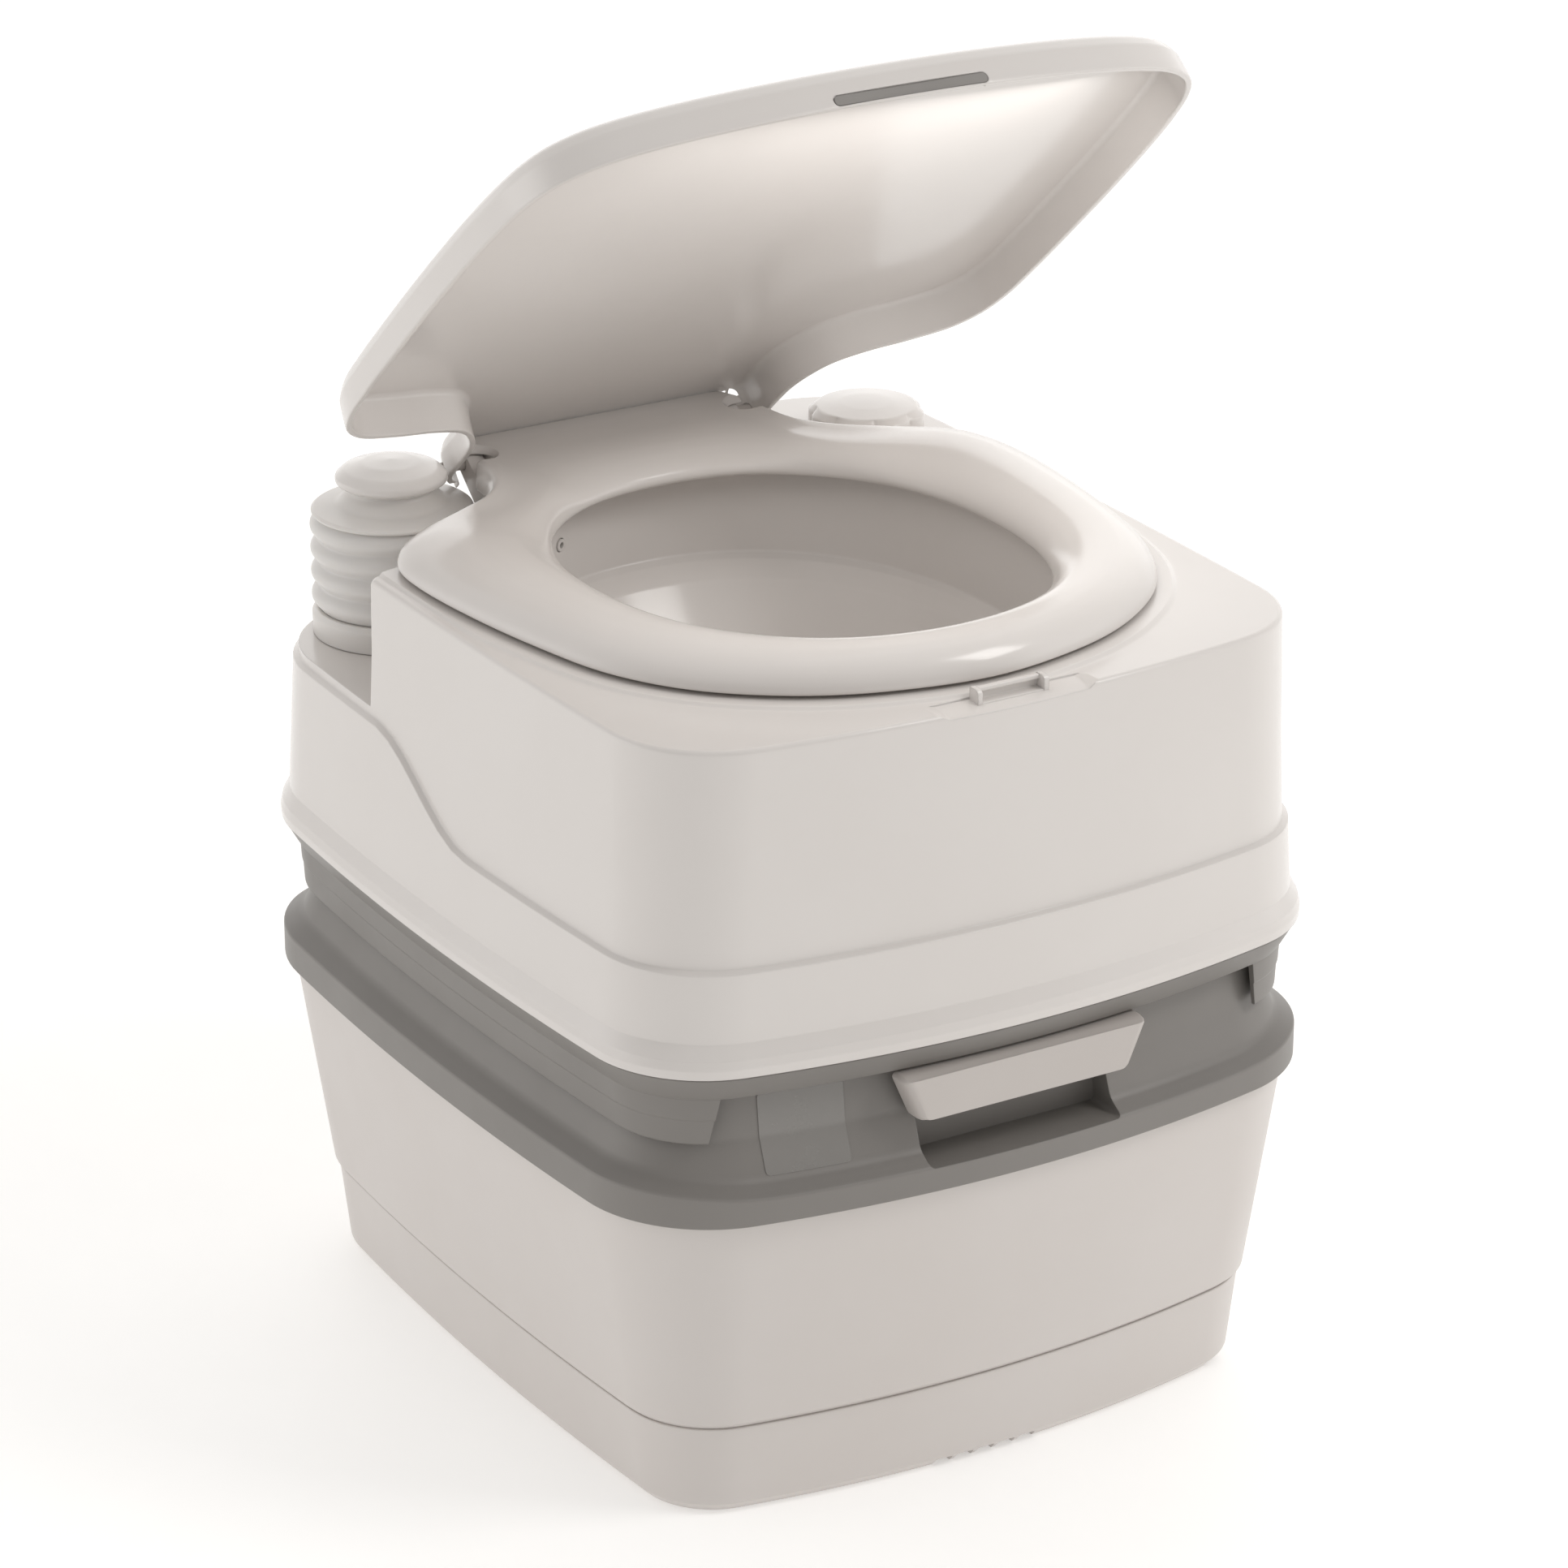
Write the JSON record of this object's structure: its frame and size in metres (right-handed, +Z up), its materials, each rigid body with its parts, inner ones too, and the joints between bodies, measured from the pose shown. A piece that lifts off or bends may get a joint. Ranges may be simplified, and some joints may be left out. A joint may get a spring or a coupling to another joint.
{
  "type": "portable camping toilet",
  "caption": "Portable two-tank camping toilet with bowl, hinged seat and lid, bellows flush pump, fill cap and a detachable waste tank with a slide valve and swivelling spout.",
  "frame": {"origin": "centre of the base footprint, on the floor", "axes": "+Z up, -Y towards the user side with the valve handle, +X to the right as seen from that side"},
  "size_m": [0.3912, 0.45, 0.6546],
  "materials": {
    "white_gloss": "gloss moulded, warm white",
    "tub_white": "fine satin texture, warm white",
    "grey_plastic": "satin, warm mid grey",
    "light_grey": "satin, light warm grey",
    "bellows_plastic": "soft satin",
    "valve_plastic": "satin, dark grey",
    "rubber_seal": "black elastomer",
    "clear_plastic": "smoky translucent",
    "steel": "stainless wire and screws"
  },
  "bodies": {
    "waste_tank": {"waste_tub": "tub_white", "waste_tank_top": "grey_plastic", "level_window": "clear_plastic", "valve_frame": "valve_plastic", "valve_screw_1": "steel", "valve_screw_2": "steel", "valve_screw_3": "steel", "valve_screw_4": "steel", "valve_lip_seal": "rubber_seal", "vent_spring": "steel"},
    "valve": {"valve_blade": "valve_plastic", "valve_handle": "light_grey"},
    "spout": {"pour_spout": "grey_plastic", "spout_retainer": "valve_plastic"},
    "spout_seal": {"spout_cap_seal": "rubber_seal"},
    "spout_cap": {"spout_cap": "light_grey"},
    "vent": {"vent_button": "light_grey", "vent_seal": "rubber_seal"},
    "upper_tank": {"upper_shell": "white_gloss", "upper_base": "grey_plastic", "bowl": "white_gloss", "bowl_gasket": "rubber_seal", "flush_nozzle": "white_gloss", "flush_hose": "clear_plastic", "pump_base": "bellows_plastic", "pump_bellows": "bellows_plastic", "pump_dip_tube": "clear_plastic", "pump_foot_valve": "valve_plastic", "fill_neck": "white_gloss", "latch_striker": "white_gloss", "hinge_pin_right": "light_grey", "hinge_pin_left": "light_grey", "latch_pin": "steel", "latch_spring": "steel"},
    "pump_head": {"pump_plate": "bellows_plastic", "pump_knob": "white_gloss"},
    "fill_seal": {"fill_cap_seal": "rubber_seal"},
    "fill_cap": {"fill_cap": "white_gloss"},
    "rear_latch": {"rear_latch": "light_grey"},
    "seat": {"seat": "white_gloss", "seat_bumper_1": "rubber_seal", "seat_bumper_2": "rubber_seal", "seat_bumper_3": "rubber_seal", "seat_bumper_4": "rubber_seal"},
    "lid": {"lid": "white_gloss"}
  },
  "joints": [
    {"name": "upper_lift", "type": "slide", "parent": "waste_tank", "child": "upper_tank", "axis": [0, 0, 1], "range_m": [0, 0.25]},
    {"name": "seat_hinge", "type": "hinge", "parent": "upper_tank", "child": "seat", "pos_m": [0, 0.17, 0.398], "axis": [-1, 0, 0], "range_deg": [0, 95]},
    {"name": "lid_hinge", "type": "hinge", "parent": "seat", "child": "lid", "pos_m": [0, 0.17, 0.398], "axis": [1, 0, 0], "range_deg": [-62, 41.3]},
    {"name": "pump_press", "type": "slide", "parent": "upper_tank", "child": "pump_head", "axis": [0, 0, -1], "range_m": [0, 0.03], "stiffness_N_per_m": 500, "deforming": ["pump_bellows"]},
    {"name": "fill_cap_lift", "type": "slide", "parent": "upper_tank", "child": "fill_seal", "axis": [0, 0, 1], "range_m": [0, 0.032]},
    {"name": "fill_cap_turn", "type": "hinge", "parent": "fill_seal", "child": "fill_cap", "pos_m": [0.132, 0.132, 0.398], "axis": [0, 0, 1], "range_deg": [0, 90]},
    {"name": "valve_slide", "type": "slide", "parent": "waste_tank", "child": "valve", "axis": [0, -1, 0], "range_m": [0, 0.122]},
    {"name": "spout_swivel", "type": "hinge", "parent": "waste_tank", "child": "spout", "pos_m": [0.115, 0.165, 0.199], "axis": [0, 0, -1], "range_deg": [0, 90]},
    {"name": "spout_cap_pull", "type": "slide", "parent": "spout", "child": "spout_seal", "axis": [-1, 0, 0], "range_m": [0, 0.035]},
    {"name": "spout_cap_turn", "type": "hinge", "parent": "spout_seal", "child": "spout_cap", "pos_m": [0.026, 0.165, 0.199], "axis": [-1, 0, 0], "range_deg": [0, 90]},
    {"name": "vent_press", "type": "slide", "parent": "waste_tank", "child": "vent", "axis": [0, 0, -1], "range_m": [0, 0.002], "stiffness_N_per_m": 2000, "springref_m": -0.001, "deforming": ["vent_spring"]},
    {"name": "latch_release", "type": "hinge", "parent": "upper_tank", "child": "rear_latch", "pos_m": [-0.09383, 0.21008, 0.229], "axis": [0.9897, 0.1432, 0], "range_deg": [0, 40], "stiffness_Nm_per_rad": 0.3, "springref_deg": -5.73}
  ]
}
